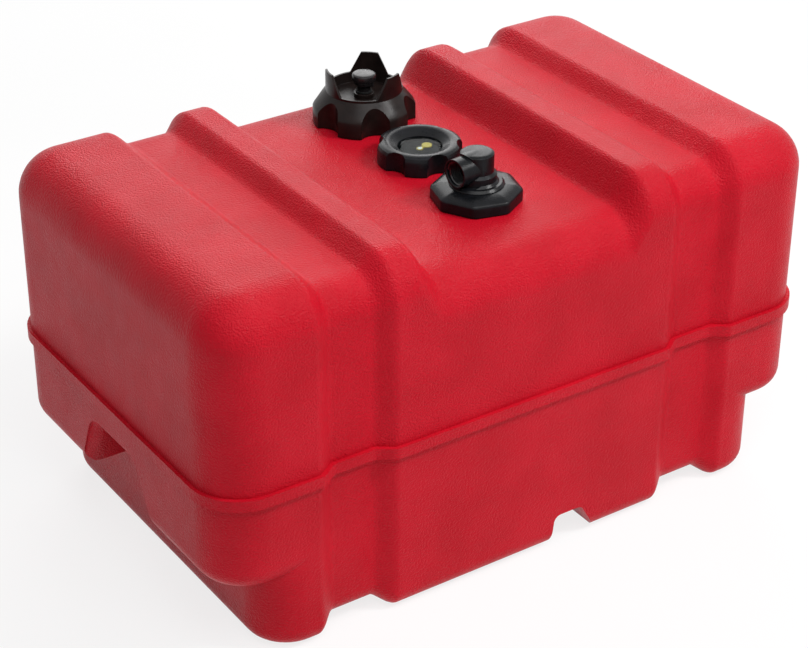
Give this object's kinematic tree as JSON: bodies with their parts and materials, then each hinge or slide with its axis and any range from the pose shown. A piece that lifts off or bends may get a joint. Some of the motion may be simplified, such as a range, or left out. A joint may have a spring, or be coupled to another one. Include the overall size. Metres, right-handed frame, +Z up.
{
  "type": "outboard fuel tank",
  "caption": "Portable moulded fuel tank with raised bands, strap grooves and feet, a vented filler cap, a float gauge and a swivelling fuel pickup.",
  "frame": {"origin": "middle of the footprint, on the surface that the tank stands on", "axes": "+X along the tank, -Y towards its long front side, +Z up"},
  "size_m": [0.597, 0.363, 0.343],
  "materials": {
    "red_polyethylene": "moulded, pebble grained",
    "black_cap_plastic": "moulded, satin",
    "black_nut_plastic": "moulded, satin",
    "grey_knob_plastic": "moulded, satin",
    "nitrile_rubber": "moulded",
    "clear_acrylic": "polished",
    "dial_card": "printed, matt",
    "yellow_plastic": "moulded, gloss",
    "aluminium_strip": "rolled",
    "steel_rod": "drawn",
    "spring_steel": "stamped",
    "float_foam": "closed cell foam",
    "natural_nylon": "extruded"
  },
  "bodies": {
    "tank": {"tank_shell": "red_polyethylene", "gauge_nut": "black_nut_plastic", "gauge_lens": "clear_acrylic", "gauge_dial": "dial_card", "gauge_body": "black_nut_plastic", "gauge_gasket": "nitrile_rubber", "guide_rods": "steel_rod", "gauge_foot": "natural_nylon", "pickup_nut": "black_nut_plastic", "pickup_gasket": "nitrile_rubber"},
    "cap_seal": {"cap_gasket": "nitrile_rubber"},
    "cap": {"fuel_cap": "black_cap_plastic"},
    "vent_washer": {"vent_seal": "nitrile_rubber"},
    "vent": {"vent_screw": "grey_knob_plastic", "vent_clip": "spring_steel"},
    "float": {"gauge_float": "float_foam"},
    "indicator": {"twist_strip": "aluminium_strip", "gauge_pointer": "yellow_plastic"},
    "pickup": {"pickup_elbow": "black_nut_plastic", "elbow_seal": "nitrile_rubber", "pickup_tube": "natural_nylon", "pickup_strainer": "natural_nylon"}
  },
  "joints": [
    {"name": "cap_lift", "type": "slide", "parent": "tank", "child": "cap_seal", "axis": [0, 0, 1], "range_m": [0, 0.1]},
    {"name": "cap_turn", "type": "hinge", "parent": "cap_seal", "child": "cap", "pos_m": [0.0175, 0.104, 0.3075], "axis": [0, 0, 1], "range_deg": [0, 540]},
    {"name": "vent_rise", "type": "slide", "parent": "cap", "child": "vent_washer", "axis": [0, 0, 1], "range_m": [0, 0.003]},
    {"name": "vent_turn", "type": "hinge", "parent": "vent_washer", "child": "vent", "pos_m": [0.0175, 0.104, 0.3205], "axis": [0, 0, 1], "range_deg": [0, 720]},
    {"name": "float_rise", "type": "slide", "parent": "tank", "child": "float", "axis": [0, 0, 1], "range_m": [0, 0.2]},
    {"name": "indicator_turn", "type": "hinge", "parent": "tank", "child": "indicator", "pos_m": [0.012, 0.0095, 0.2], "axis": [0, 0, 1], "range_deg": [-180, 0]},
    {"name": "elbow_swivel", "type": "hinge", "parent": "tank", "child": "pickup", "pos_m": [0.0095, -0.076, 0.3085], "axis": [0, 0, 1], "range_deg": [-180, 180]}
  ],
  "couplings": [
    {"joint": "vent_rise", "follows": "vent_turn", "m_per_rad": 0.0002387},
    {"joint": "indicator_turn", "follows": "float_rise", "rad_per_m": -15.708}
  ]
}
